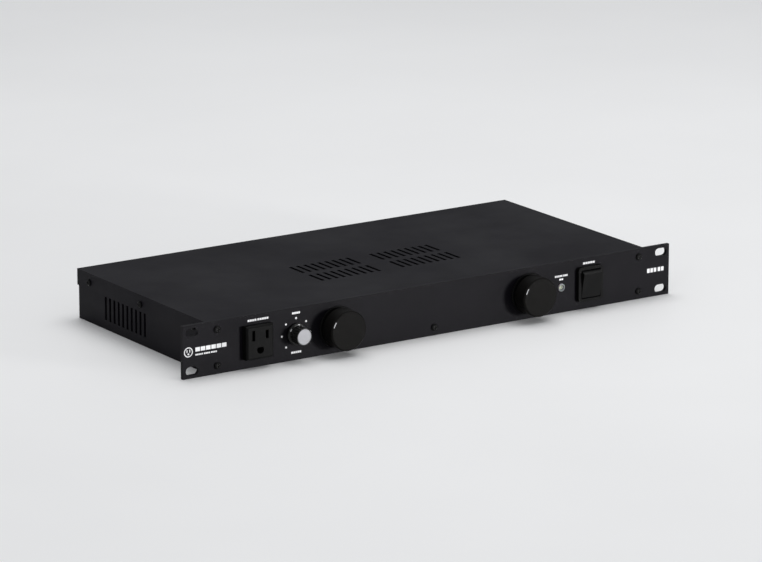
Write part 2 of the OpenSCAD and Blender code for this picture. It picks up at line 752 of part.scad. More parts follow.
front_panel();
chassis_tray();
top_cover();
panel_screws();
cover_screws();
front_outlet();
front_contacts();
rear_outlet(1);  // rear_outlet_1
rear_outlet(2);  // rear_outlet_2
rear_outlet(3);  // rear_outlet_3
rear_outlet(4);  // rear_outlet_4
rear_outlet(5);  // rear_outlet_5
rear_outlet(6);  // rear_outlet_6
rear_outlet(7);  // rear_outlet_7
rear_outlet(8);  // rear_outlet_8
line_bus();
neutral_bus();
ground_bus();
dimmer_pot();
dimmer_nut();
dimmer_shaft();
dimmer_knob();
dimmer_cap();
switch_housing();
switch_rocker();
switch_pin();
switch_terminals();
led_ring();
led_lens();
light_bushes();
light_rails();
left() light_tube();  // left_tube
left() light_cap();  // left_cap
left() light_window();  // left_window
left() light_retainer();  // left_retainer
left() light_slider();  // left_slider
left() light_socket();  // left_socket
left() bulb_base();  // left_bulb_base
left() bulb();  // left_bulb
right() light_tube();  // right_tube
right() light_cap();  // right_cap
right() light_window();  // right_window
right() light_retainer();  // right_retainer
right() light_slider();  // right_slider
right() light_socket();  // right_socket
right() bulb_base();  // right_bulb_base
right() bulb();  // right_bulb
surge_board();
board_standoffs();
board_screws();
varistors();
filter_capacitor();
choke_core();
choke_winding();
power_leads();
breaker_body();
breaker_nut();
breaker_button();
cord_gland();
gland_nut();
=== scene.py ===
"""Looks of the rack power strip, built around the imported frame, in metres.

X runs to the right as seen from the front, Y to the rear and Z up.
"""

import json
import math

import bmesh
import bpy
from mathutils import Matrix, Vector


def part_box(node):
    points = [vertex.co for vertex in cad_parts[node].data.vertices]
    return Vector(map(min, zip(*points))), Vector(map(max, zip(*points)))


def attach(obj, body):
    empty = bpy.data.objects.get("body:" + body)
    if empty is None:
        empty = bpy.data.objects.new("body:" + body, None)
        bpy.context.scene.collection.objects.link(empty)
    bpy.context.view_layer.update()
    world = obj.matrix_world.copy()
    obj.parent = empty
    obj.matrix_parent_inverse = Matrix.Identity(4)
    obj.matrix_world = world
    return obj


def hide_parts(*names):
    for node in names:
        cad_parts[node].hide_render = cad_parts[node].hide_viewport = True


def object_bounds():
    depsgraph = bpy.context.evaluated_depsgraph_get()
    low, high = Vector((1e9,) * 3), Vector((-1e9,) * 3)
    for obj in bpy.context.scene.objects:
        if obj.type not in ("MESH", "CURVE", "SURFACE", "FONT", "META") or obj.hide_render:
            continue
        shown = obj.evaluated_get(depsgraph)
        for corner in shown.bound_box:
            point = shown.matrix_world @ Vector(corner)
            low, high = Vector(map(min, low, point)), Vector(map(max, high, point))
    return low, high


MM = 0.001

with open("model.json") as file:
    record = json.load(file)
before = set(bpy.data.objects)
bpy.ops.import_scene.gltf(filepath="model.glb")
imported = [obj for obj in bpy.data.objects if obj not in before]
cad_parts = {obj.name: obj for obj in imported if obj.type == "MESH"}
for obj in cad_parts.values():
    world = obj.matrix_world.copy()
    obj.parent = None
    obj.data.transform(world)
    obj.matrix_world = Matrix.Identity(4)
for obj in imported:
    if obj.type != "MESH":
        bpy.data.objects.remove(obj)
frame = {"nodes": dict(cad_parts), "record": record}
cad_low, cad_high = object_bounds()
NODES = frame["nodes"]
SLOT_OF = {s["node"]: s["material_slot"] for s in frame["record"]["subparts"]}
BODY_OF = {n: body for body, members in frame["record"]["behaviour"]["bodies"].items() for n in members}

SIDES = ("left", "right")
# Edges of a CAD solid that bend by more than this are rounded
ROUNDED_ABOVE = math.radians(28)
# Edges of a finished piece that bend by more than this are not shaded smooth
SHADED_SHARP_ABOVE = math.radians(40)
# Gap between a turned piece and what it sits on
FIT = 0.05 * MM
# How far printing stands out from its surface
PRINT_THICK = 0.05 * MM
# Height of the panel's top row of legends, in millimetres from its middle
TITLE_Z = 17.4


# ---- Material building blocks ----

def shader(name, color, roughness, metallic=0.0, **sockets):
    """A Principled material and its node tree, with the named sockets set."""
    mat = bpy.data.materials.new(name)
    mat.use_nodes = True
    tree = mat.node_tree
    surface = tree.nodes["Principled BSDF"]
    surface.inputs["Base Color"].default_value = (*color, 1)
    surface.inputs["Roughness"].default_value = roughness
    surface.inputs["Metallic"].default_value = metallic
    for socket, value in sockets.items():
        surface.inputs[socket.replace("_", " ")].default_value = value
    return mat, tree, surface


def place_of(tree, stretch=(1, 1, 1)):
    """Object coordinates in metres, stretched along the axes."""
    coords = tree.nodes.new("ShaderNodeTexCoord")
    mapping = tree.nodes.new("ShaderNodeMapping")
    mapping.inputs["Scale"].default_value = stretch
    tree.links.new(coords.outputs["Object"], mapping.inputs["Vector"])
    return mapping.outputs["Vector"]


def noise(tree, scale, detail=2.0, stretch=(1, 1, 1)):
    """Noise over the surface, scale cells to the metre."""
    node = tree.nodes.new("ShaderNodeTexNoise")
    node.inputs["Scale"].default_value = scale
    node.inputs["Detail"].default_value = detail
    tree.links.new(place_of(tree, stretch), node.inputs["Vector"])
    return node.outputs["Fac"]


def spread(tree, value, low, high, start=0.3, end=0.7):
    """Value taken from start..end to low..high."""
    node = tree.nodes.new("ShaderNodeMapRange")
    for socket, number in (("From Min", start), ("From Max", end), ("To Min", low), ("To Max", high)):
        node.inputs[socket].default_value = number
    tree.links.new(value, node.inputs["Value"])
    return node.outputs["Result"]


def tint(tree, surface, value, dark, light):
    """Base colour that varies between two colours with value."""
    ramp = tree.nodes.new("ShaderNodeValToRGB")
    ramp.color_ramp.elements[0].position = 0.3
    ramp.color_ramp.elements[0].color = (*dark, 1)
    ramp.color_ramp.elements[1].position = 0.7
    ramp.color_ramp.elements[1].color = (*light, 1)
    tree.links.new(value, ramp.inputs["Fac"])
    tree.links.new(ramp.outputs["Color"], surface.inputs["Base Color"])


def emboss(tree, surface, *layers):
    """Bump from (value, height in millimetres) layers, one on the other."""
    last = None
    for value, height in layers:
        node = tree.nodes.new("ShaderNodeBump")
        node.inputs["Strength"].default_value = 1.0
        node.inputs["Distance"].default_value = height * MM
        tree.links.new(value, node.inputs["Height"])
        if last:
            tree.links.new(last, node.inputs["Normal"])
        last = node.outputs["Normal"]
    tree.links.new(last, surface.inputs["Normal"])


def grey(value, warm=0.0):
    """A grey of that linear value, a little warm or, below zero, cool."""
    return (value * (1 + warm), value, value * (1 - warm))


def cool(value):
    """A near-black with a trace of violet."""
    return (value * 1.04, value * 0.92, value * 1.35)


# ---- Materials ----

def powder_coat(name, value, grain, roughness):
    """Satin powder coat: fine orange peel, faint handling marks in the sheen."""
    mat, tree, surface = shader(name, cool(value), roughness, Specular_IOR_Level=0.066)
    tint(tree, surface, noise(tree, 40, 4), cool(value * 0.88), cool(value * 1.14))
    smear = noise(tree, 14, 5, stretch=(1, 1, 2.4))
    tree.links.new(spread(tree, smear, roughness - 0.05, roughness + 0.07), surface.inputs["Roughness"])
    emboss(tree, surface, (noise(tree, grain, 2), 0.012), (noise(tree, grain * 3.1, 1), 0.004))
    return mat


def moulded(name, value, roughness, warm=0.0, grain=2600, height=0.012, **sockets):
    """Moulded plastic with a fine spark-eroded grain."""
    mat, tree, surface = shader(name, grey(value, warm), roughness, **sockets)
    tint(tree, surface, noise(tree, 90, 3), grey(value * 0.9, warm), grey(value * 1.12, warm))
    tree.links.new(spread(tree, noise(tree, 60, 3), roughness - 0.04, roughness + 0.05),
                   surface.inputs["Roughness"])
    emboss(tree, surface, (noise(tree, grain, 2), height))
    return mat


def coloured(name, color, roughness, grain=1500, height=0.01):
    """Coloured plastic, lacquer or epoxy, a little uneven."""
    mat, tree, surface = shader(name, color, roughness)
    dark = tuple(c * 0.82 for c in color)
    light = tuple(min(1.0, c * 1.12) for c in color)
    tint(tree, surface, noise(tree, 120, 3), dark, light)
    emboss(tree, surface, (noise(tree, grain, 2), height))
    return mat


def metal(name, color, roughness, brush=(1, 1, 1), scale=900):
    """Plated or brushed metal, with its brush lines drawn out along one axis."""
    mat, tree, surface = shader(name, color, roughness, metallic=1.0)
    lines = noise(tree, scale, 3, brush)
    tint(tree, surface, noise(tree, 150, 3), tuple(c * 0.86 for c in color), color)
    tree.links.new(spread(tree, lines, roughness - 0.08, roughness + 0.1), surface.inputs["Roughness"])
    emboss(tree, surface, (lines, 0.006))
    return mat


def turned_finish(name, color, roughness, centre_x, metallic, height, pitch_mm):
    """Finish with the fine rings that a lathe leaves, about an axis along Y through centre_x."""
    # The wave texture's rings are this far apart at scale 1, in metres
    wave_period = 0.314
    mat, tree, surface = shader(name, color, roughness, metallic=metallic, Specular_IOR_Level=0.16)
    coords = tree.nodes.new("ShaderNodeTexCoord")
    offset = tree.nodes.new("ShaderNodeMapping")
    offset.inputs["Location"].default_value = (-centre_x, 0, 0)
    rings = tree.nodes.new("ShaderNodeTexWave")
    rings.wave_type = "RINGS"
    rings.rings_direction = "Y"
    rings.inputs["Scale"].default_value = wave_period / (pitch_mm * MM)
    rings.inputs["Distortion"].default_value = 0.6
    rings.inputs["Detail"].default_value = 2
    tree.links.new(coords.outputs["Object"], offset.inputs["Vector"])
    tree.links.new(offset.outputs["Vector"], rings.inputs["Vector"])
    dark, light = tuple(c * 0.88 for c in color), tuple(c * 1.08 for c in color)
    tint(tree, surface, noise(tree, 70, 3), dark, light)
    tree.links.new(spread(tree, rings.outputs["Fac"], roughness - 0.03, roughness + 0.05, 0, 1),
                   surface.inputs["Roughness"])
    emboss(tree, surface, (rings.outputs["Fac"], height), (noise(tree, 2200, 2), height))
    return mat


def clear(name, color, roughness, transmission, milky=0.0):
    """Clear or frosted glass or plastic."""
    mat, tree, surface = shader(name, color, roughness, Transmission_Weight=transmission, IOR=1.5,
                                Subsurface_Weight=milky, Subsurface_Scale=0.004)
    tint(tree, surface, noise(tree, 200, 2), tuple(c * 0.94 for c in color), color)
    emboss(tree, surface, (noise(tree, 700, 2), 0.006))
    return mat


def circuit_board(name):
    """Green solder mask over copper tracks."""
    mat, tree, surface = shader(name, (0.02, 0.12, 0.05), 0.35)
    tracks = tree.nodes.new("ShaderNodeTexBrick")
    tracks.inputs["Scale"].default_value = 95
    tracks.inputs["Mortar Size"].default_value = 0.06
    tracks.inputs["Color1"].default_value = (0.015, 0.11, 0.045, 1)
    tracks.inputs["Color2"].default_value = (0.02, 0.13, 0.055, 1)
    tracks.inputs["Mortar"].default_value = (0.05, 0.26, 0.11, 1)
    tree.links.new(place_of(tree), tracks.inputs["Vector"])
    tree.links.new(tracks.outputs["Color"], surface.inputs["Base Color"])
    emboss(tree, surface, (tracks.outputs["Fac"], 0.03), (noise(tree, 900, 2), 0.006))
    return mat


def make_materials():
    """One material for each of the record's slots, and those of the added details."""
    made = {
        "panel_black": powder_coat("panel_black", 0.0037, grain=1500, roughness=0.44),
        "zinc_steel": powder_coat("chassis_paint", 0.0055, grain=1100, roughness=0.48),
        "black_steel": metal("black_oxide", grey(0.016), 0.45),
        "bright_steel": metal("zinc_plate", (0.6, 0.61, 0.63), 0.3),
        "brass": metal("brass", (0.74, 0.52, 0.2), 0.28),
        "pot_metal": metal("plated_can", (0.5, 0.5, 0.51), 0.34, brush=(1, 12, 1)),
        "black_nylon": moulded("black_nylon", 0.0038, 0.44, Specular_IOR_Level=0.05),
        "knob_black": moulded("knob_black", 0.0085, 0.3, grain=3200, height=0.006,
                              Specular_IOR_Level=0.24),
        "rocker_black": moulded("rocker_black", 0.0044, 0.34, grain=3600, height=0.004,
                                Specular_IOR_Level=0.09),
        "led_ring": clear("led_ring", (0.42, 0.43, 0.45), 0.24, transmission=0.4, milky=0.08),
        "led_lens": clear("led_lens", (0.93, 0.96, 0.94), 0.05, transmission=0.9),
        "tube_anodised": metal("black_anodising", grey(0.045), 0.36, brush=(1, 0.04, 1), scale=2400),
        "diffuser": clear("diffuser", (0.92, 0.92, 0.88), 0.5, transmission=0.6, milky=0.4),
        "white_nylon": moulded("white_nylon", 0.72, 0.5, warm=0.03),
        "phenolic": moulded("phenolic", 0.02, 0.35, warm=0.3),
        "bulb_glass": clear("bulb_glass", (0.97, 0.97, 0.94), 0.18, transmission=0.9),
        "board_green": circuit_board("board_green"),
        "varistor_blue": coloured("varistor_blue", (0.02, 0.09, 0.32), 0.35),
        "capacitor_yellow": coloured("capacitor_yellow", (0.6, 0.45, 0.04), 0.4),
        "ferrite": coloured("ferrite", (0.1, 0.16, 0.08), 0.5, grain=900, height=0.03),
        "copper_wire": metal("enamelled_copper", (0.55, 0.19, 0.06), 0.25),
        "lead_jacket": coloured("lead_jacket", (0.28, 0.012, 0.012), 0.42),
        "button_white": moulded("button_white", 0.62, 0.42, warm=0.01),
        # White ink for the printing, also used for the painted highlight on the dimmer's skirt
        "ink_and_glint": coloured("printed_ink_and_glint", (0.7, 0.7, 0.71), 0.55, grain=2600, height=0.008),
        # Grey paint for the painted highlight on each light cap's rim
        "painted_glint": coloured("painted_glint", (0.34, 0.34, 0.35), 0.55, grain=2600, height=0.008),
        "filament": metal("filament", (0.5, 0.47, 0.42), 0.4),
        "emitter": coloured("emitter", (0.55, 0.6, 0.35), 0.35),
    }
    made["cap_black"] = moulded("cap_black", 0.005, 0.42, warm=0.06, grain=2400, height=0.003,
                                Specular_IOR_Level=0.035)
    made["knob_silver"] = turned_finish("knob_inlay", (0.27, 0.27, 0.285), 0.42, middle("dimmer_cap").x,
                                        metallic=0.35, height=0.003, pitch_mm=0.44)
    return made


# ---- Places ----

def middle(node):
    """Middle of a node's box."""
    low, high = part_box(node)
    return (low + high) / 2


def radius_of(node):
    """Largest radius of a turned node, from its width."""
    low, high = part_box(node)
    return (high.x - low.x) / 2


# ---- Mesh building blocks ----

def new_piece(name, bm, material, body, replaces=(), smooth=True):
    """A piece from a bmesh, with smooth shading that keeps its flats flat."""
    mesh = bpy.data.meshes.new(name)
    bmesh.ops.recalc_face_normals(bm, faces=bm.faces)
    bm.to_mesh(mesh)
    bm.free()
    piece = bpy.data.objects.new(name, mesh)
    bpy.context.scene.collection.objects.link(piece)
    if smooth:
        mesh.polygons.foreach_set("use_smooth", [True] * len(mesh.polygons))
        mesh.set_sharp_from_angle(angle=SHADED_SHARP_ABOVE)
        weighted = piece.modifiers.new("flats", "WEIGHTED_NORMAL")
        weighted.keep_sharp = True
        weighted.weight = 80
    mesh.materials.append(material)
    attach(piece, body)
    if replaces:
        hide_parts(*replaces)


def refine(node, edge_mm, mats):
    """The CAD solid of a node with its flats joined and its sharp edges rounded."""
    bm = bmesh.new()
    bm.from_mesh(NODES[node].data)
    bmesh.ops.remove_doubles(bm, verts=bm.verts, dist=0.002 * MM)
    bmesh.ops.dissolve_limit(bm, angle_limit=math.radians(0.4), verts=bm.verts, edges=bm.edges)
    if edge_mm:
        edges = [e for e in bm.edges if len(e.link_faces) == 2 and e.calc_face_angle(0) > ROUNDED_ABOVE]
        bmesh.ops.bevel(bm, geom=edges, offset=edge_mm * MM, offset_type="OFFSET", segments=2,
                        profile=0.5, affect="EDGES", clamp_overlap=True)
    new_piece(node + "_body", bm, mats[SLOT_OF[node]], BODY_OF[node], (node,))


def fillet(corners, steps=6):
    """Outline of (a, b) points from (a, b, radius) corners, each corner rounded to its radius."""
    outline = []
    last = len(corners) - 1
    for i, (a, b, radius) in enumerate(corners):
        here = Vector((a, b))
        if radius == 0 or i in (0, last):
            outline.append(here)
            continue
        to_prev = (Vector(corners[i - 1][:2]) - here).normalized()
        to_next = (Vector(corners[i + 1][:2]) - here).normalized()
        half = to_prev.angle(to_next) / 2
        reach = radius / math.tan(half)
        centre = here + (to_prev + to_next).normalized() * (radius / math.sin(half))
        start, end = here + to_prev * reach - centre, here + to_next * reach - centre
        sweep = start.angle_signed(end)
        for k in range(steps + 1):
            turn = Matrix.Rotation(-sweep * k / steps, 2)
            outline.append(centre + turn @ start)
    return outline


def lathe(outline, centre_x, segments=96, closed=False):
    """Bmesh turned about the Y axis through centre_x from (radius, y) points."""
    bm = bmesh.new()
    rings = []
    for radius, y in outline:
        if radius < 1e-7:
            rings.append([bm.verts.new((centre_x, y, 0))])
        else:
            rings.append([bm.verts.new((centre_x + radius * math.cos(a), y, radius * math.sin(a)))
                          for a in (2 * math.pi * k / segments for k in range(segments))])
    pairs = list(zip(rings, rings[1:]))
    if closed:
        pairs.append((rings[-1], rings[0]))
    for first, second in pairs:
        for k in range(segments):
            j = (k + 1) % segments
            corners = [first[k % len(first)], second[k % len(second)], second[j % len(second)],
                       first[j % len(first)]]
            corners = list(dict.fromkeys(corners))
            if len(corners) > 2:
                bm.faces.new(corners)
    return bm


def stamp(bm, outline, y, thick):
    """Adds a flat shape in the XZ plane to bm, from its face at y to its back at y + thick."""
    front_ring = [bm.verts.new((x, y, z)) for x, z in outline]
    back_ring = [bm.verts.new((x, y + thick, z)) for x, z in outline]
    bm.faces.new(front_ring)
    bm.faces.new(list(reversed(back_ring)))
    for k in range(len(outline)):
        j = (k + 1) % len(outline)
        bm.faces.new((front_ring[k], back_ring[k], back_ring[j], front_ring[j]))


def ring_arc(x, z, r_in, r_out, start, end, steps):
    """Outline of an arc band about (x, z), between two angles in degrees."""
    angles = [math.radians(start + (end - start) * k / steps) for k in range(steps + 1)]
    outer = [(x + r_out * math.cos(a), z + r_out * math.sin(a)) for a in angles]
    inner = [(x + r_in * math.cos(a), z + r_in * math.sin(a)) for a in reversed(angles)]
    return outer + inner


def disc(x, z, radius):
    """Outline of a disc about (x, z)."""
    steps = 28
    angles = [2 * math.pi * k / steps for k in range(steps)]
    return [(x + radius * math.cos(a), z + radius * math.sin(a)) for a in angles]


def bar(x, z, width, height, corner):
    """Outline of a bar about (x, z) with rounded corners, corner in millimetres."""
    corner = min(corner * MM, width / 2 * 0.95, height / 2 * 0.95)
    points = []
    for sx, sz, first in ((1, 1, 0), (-1, 1, 90), (-1, -1, 180), (1, -1, 270)):
        cx, cz = x + sx * (width / 2 - corner), z + sz * (height / 2 - corner)
        points += [(cx + corner * math.cos(math.radians(first + 30 * k)),
                    cz + corner * math.sin(math.radians(first + 30 * k))) for k in range(4)]
    return points


# ---- Panel and its printing ----

def printing(name, body, shapes, y, material):
    """Printed shapes, or a painted highlight, as one thin piece, each shape an outline of (x, z) points.
    """
    bm = bmesh.new()
    for outline in shapes:
        stamp(bm, outline, y - PRINT_THICK, PRINT_THICK)
    new_piece(name, bm, material, body, smooth=False)


def words(x, z, width, height, letters, gap=0.3, space=0.9):
    """A printed legend as blocks the size of its letters, in one row about (x, z).

    Sizes are in millimetres, and letters gives the number of blocks in each word.
    """
    gaps = gap * (sum(letters) - len(letters)) + space * (len(letters) - 1)
    block = (width - gaps) / sum(letters)
    shapes, left = [], x - width / 2
    for word in letters:
        for _ in range(word):
            shapes.append(bar((left + block / 2) * MM, z * MM, block * MM, height * MM, 0.15))
            left += block + gap
        left += space - gap
    return shapes


def dial_dots(x):
    """Seven dots around the dimmer, from its low end round to its high end."""
    ring, drop, dot_r = 13.6 * MM, 0.5 * MM, 0.85 * MM
    angles = [math.radians(turn) for turn in range(-135, 136, 45)]
    return [disc(x + ring * math.sin(a), ring * math.cos(a) - drop, dot_r) for a in angles]


def socket_sign(x):
    """A ring round two short bars and a dot."""
    ring = ring_arc(x, 0, r_in=3.3 * MM, r_out=4.1 * MM, start=0, end=359.9, steps=48)
    bars = [bar(x + side * 1.3 * MM, 0.9 * MM, width=0.8 * MM, height=2.4 * MM, corner=0.1)
            for side in (-1, 1)]
    return [ring] + bars + [disc(x, -1.6 * MM, 0.8 * MM)]


def make_legends(mats):
    """White printing on the panel: plain blocks, dots and a socket sign, with no lettering."""
    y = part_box("front_panel")[0].y
    outlet, dial = middle("front_outlet").x / MM, middle("dimmer_knob").x / MM
    lamp, rocker = middle("led_ring").x / MM, middle("switch_housing").x / MM
    sign, row, small_row, right_row = -236, -215, -219.5, 227
    printed = {
        "legend_outlet": words(outlet + 1.7, TITLE_Z, width=19.6, height=1.7, letters=(4, 5)),
        "legend_dial": words(dial, TITLE_Z, width=7.5, height=1.7, letters=(4,))
        + words(dial, -15.4, width=9.4, height=1.7, letters=(5,)),
        "legend_lamp": words(lamp, 9.9, width=13, height=1.6, letters=(5, 3))
        + words(lamp, 6.9, width=4, height=1.5, letters=(2,)),
        "legend_switch": words(rocker, TITLE_Z, width=12, height=1.8, letters=(5,)),
        "legend_dial_dots": dial_dots(dial * MM),
        "mark_left": socket_sign(sign * MM)
        + words(row, 1.3, width=29, height=3.4, letters=(6,), gap=0.7)
        + words(small_row, -3, width=20, height=1.3, letters=(5, 4, 4)),
        "mark_right": words(right_row, 1.2, width=17.3, height=3.6, letters=(3, 2), gap=0.8, space=1.6),
    }
    for name, shapes in printed.items():
        printing(name, "chassis", shapes, y, mats["ink_and_glint"])


def make_stud(mats):
    """Nearly flush head of a stud pressed into the panel, left of its middle."""
    stud_x, stud_z = -72.6 * MM, 4.8 * MM
    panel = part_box("front_panel")[0].y
    front, back = panel - 0.12 * MM, panel + 0.05 * MM
    head = fillet([(0, front, 0), (1.35 * MM, front, 0.08 * MM), (1.4 * MM, back, 0), (0, back, 0)])
    bm = lathe(head, 0, 40)
    bmesh.ops.translate(bm, verts=bm.verts, vec=(stud_x, 0, stud_z))
    new_piece("panel_stud", bm, mats["black_steel"], "chassis")


# ---- Work lights ----

def make_light(side, mats):
    """Cap with a painted highlight on its rim, bulb, and the tube, window, retainer, slider and socket of
    one light.
    """
    low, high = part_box(side + "_cap")
    centre = middle(side + "_cap")
    radius, tube_r = radius_of(side + "_cap"), radius_of(side + "_tube")
    bore, seat_y = tube_r + FIT, low.y + 2.9 * MM
    face_y, chamfer = low.y + PRINT_THICK, 1.1 * MM
    cap = fillet([(0, face_y, 0), (radius - chamfer, face_y, 0.3 * MM),
                  (radius, low.y + chamfer, 0.3 * MM), (radius, high.y, 0.5 * MM),
                  (bore, high.y, 0.2 * MM), (bore, seat_y, 0), (0, seat_y, 0)])
    new_piece(side + "_light_cap", lathe(cap, centre.x, 128), mats["cap_black"], side + "_light",
              (side + "_cap",))
    # Painted highlight: a grey arc painted on the cap's face at its upper left rim, where the chamfer
    # catches a glint
    glint_arc = ring_arc(centre.x, 0, radius - 2 * MM, radius - 1.15 * MM, start=144, end=162, steps=10)
    printing(side + "_cap_painted_glint", side + "_light", [glint_arc], face_y, mats["painted_glint"])
    make_bulb(side, centre.x, mats)
    edges = {"tube": 0.25, "window": 0.15, "retainer": 0.2, "slider": 0.4, "socket": 0.3}
    for part, edge in edges.items():
        refine(f"{side}_{part}", edge, mats)


def make_bulb(side, x, mats):
    """Glass shell with its filament, and a base with a rolled thread."""
    low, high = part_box(side + "_bulb")
    length, belly = high.y - low.y, radius_of(side + "_bulb")
    neck_at, fullness, steps = math.radians(152), 0.75, 40
    profile = [(belly * math.sin(neck_at * s) ** fullness, low.y + length * s)
               for s in (k / steps for k in range(steps + 1))]
    wall, inner_share = 0.6 * MM, 0.93
    inner = [(inner_share * r, low.y + wall + (y - low.y) * (length - wall) / length)
             for r, y in reversed(profile)]
    new_piece(side + "_bulb_glass", lathe(profile + inner, x, 64), mats["bulb_glass"], side + "_lamp",
              (side + "_bulb",))
    base_low, base_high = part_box(side + "_bulb_base")
    base_r = radius_of(side + "_bulb_base")
    root, middle_share, swing = 0.93, 0.965, 0.035
    thread = [(0, base_low.y), (base_r * root, base_low.y)]
    for quarter in range(29):
        y = base_low.y + (1 + quarter * 0.5) * MM
        thread.append((base_r * (middle_share - swing * math.cos(quarter * math.pi / 2)), y))
    thread += [(0.5 * base_r, base_high.y), (0, base_high.y)]
    new_piece(side + "_bulb_shell", lathe(thread, x, 48), mats["brass"], side + "_lamp",
              (side + "_bulb_base",))
    coil_r, coil_y, coil_long, winding = 0.5 * MM, low.y + 14 * MM, 9 * MM, 80
    coil = [(x + (t - 0.5) * coil_long, coil_y + coil_r * math.cos(t * winding),
             coil_r * math.sin(t * winding)) for t in (k / 160 for k in range(161))]
    posts = [[(x + s * 1.5 * MM, base_low.y, 0), (x + s * 2.4 * MM, low.y + 26 * MM, 0), end]
             for s, end in ((-1, coil[0]), (1, coil[-1]))]
    wire_piece(side + "_filament", [coil] + posts, 0.09 * MM, mats["filament"], side + "_lamp")


def wire_piece(name, runs, radius, material, body):
    """Round wires through lists of points, one curve piece."""
    curve = bpy.data.curves.new(name, "CURVE")
    curve.dimensions = "3D"
    curve.bevel_depth = radius
    curve.bevel_resolution = 3
    curve.use_fill_caps = True
    for run in runs:
        spline = curve.splines.new("POLY")
        spline.points.add(len(run) - 1)
        for point, at in zip(spline.points, run):
            point.co = (*at, 1)
    curve.materials.append(material)
    piece = bpy.data.objects.new(name, curve)
    bpy.context.scene.collection.objects.link(piece)
    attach(piece, body)


# ---- Dimmer ----

def spoke(x, turn, half_w, near, far):
    """Outline of a short bar that points away from (x, 0), turn degrees clockwise from straight up."""
    angle = math.radians(turn)
    along = Vector((math.sin(angle), math.cos(angle)))
    across = Vector((along.y, -along.x)) * half_w
    corners = (along * near + across, along * far + across, along * far - across, along * near - across)
    return [(x + c.x, c.y) for c in corners]


def cut_flutes(bm, x, flutes, deep, on_grip):
    """Presses flutes into the turned knob about x, where on_grip(radius, y) holds."""
    for v in bm.verts:
        away = Vector((v.co.x - x, v.co.z))
        if on_grip(away.length, v.co.y):
            dip = max(0.0, math.cos(flutes * math.atan2(away.y, away.x))) ** 2 * deep
            away *= (away.length - dip) / away.length
            v.co.x, v.co.z = x + away.x, away.y


def make_grip(x, skirt_r, grip_r, skirt_y, mats):
    """Fluted grip on a skirt, hollow behind, with a bore for the shaft."""
    low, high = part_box("dimmer_knob")
    seat_r, seat_y = radius_of("dimmer_cap") + FIT, low.y + 1.1 * MM
    skirt_chamfer, flutes = 0.8 * MM, 18
    hollow_r, hollow_y, shaft_r = 6.8 * MM, high.y - 2.6 * MM, 3.1 * MM
    outline = fillet([(seat_r, seat_y, 0), (seat_r, low.y, 0.1 * MM),
                      (grip_r - 0.3 * MM, low.y, 0.4 * MM), (grip_r, skirt_y, 0.3 * MM),
                      (skirt_r - skirt_chamfer, skirt_y, 0.15 * MM),
                      (skirt_r, skirt_y + skirt_chamfer, 0.2 * MM), (skirt_r, high.y, 0.15 * MM),
                      (hollow_r, high.y, 0), (hollow_r, hollow_y, 0), (shaft_r, hollow_y, 0),
                      (shaft_r, seat_y, 0)], steps=5)
    bm = lathe(outline, x, flutes * 12, closed=True)
    inside, outside, front = seat_r + 0.45 * MM, grip_r + 0.3 * MM, low.y + 0.2 * MM
    cut_flutes(bm, x, flutes, 0.55 * MM, lambda r, y: inside < r < outside and front < y < skirt_y)
    new_piece("dimmer_grip", bm, mats["knob_black"], "dimmer", ("dimmer_knob",))


def make_inlay(x, mats):
    """Light metal inlay with a low raised rim."""
    radius, (front, back) = radius_of("dimmer_cap"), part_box("dimmer_cap")
    face_y = front.y + 0.12 * MM
    inlay = fillet([(0, face_y, 0), (radius - 0.9 * MM, face_y, 0.1 * MM),
                    (radius - 0.7 * MM, front.y, 0.15 * MM), (radius, front.y, 0.2 * MM),
                    (radius, back.y, 0), (0, back.y, 0)])
    new_piece("dimmer_inlay", lathe(inlay, x, 96), mats["knob_silver"], "dimmer",
              ("dimmer_cap",))


def make_pointer_and_glint(x, near, far, y, mats):
    """The pointer, and a painted highlight as a second, wider bar, both short raised bars of white on the
    skirt.
    """
    bm = bmesh.new()
    # At 5 degrees the printed pointer; at -57 degrees a painted highlight, white where the skirt's
    # chamfer catches a glint
    for turn, half_w in ((5, 0.8 * MM), (-57, 1.1 * MM)):
        stamp(bm, spoke(x, turn, half_w, near, far), y, 0.5 * MM)
    new_piece("dimmer_pointer_and_glint", bm, mats["ink_and_glint"], "dimmer", smooth=False)


def make_dimmer(mats):
    """Fluted knob on a skirt, its light inlay, its pointer and painted highlight, and its shaft."""
    x, skirt_r = middle("dimmer_knob").x, radius_of("dimmer_knob")
    grip_r, skirt_y = skirt_r - 1.5 * MM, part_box("dimmer_knob")[1].y - 2.4 * MM
    make_grip(x, skirt_r, grip_r, skirt_y, mats)
    make_inlay(x, mats)
    make_pointer_and_glint(x, grip_r + 0.3 * MM, skirt_r - 0.55 * MM, skirt_y - 0.3 * MM, mats)
    refine("dimmer_shaft", 0.3, mats)


# ---- Indicator ----

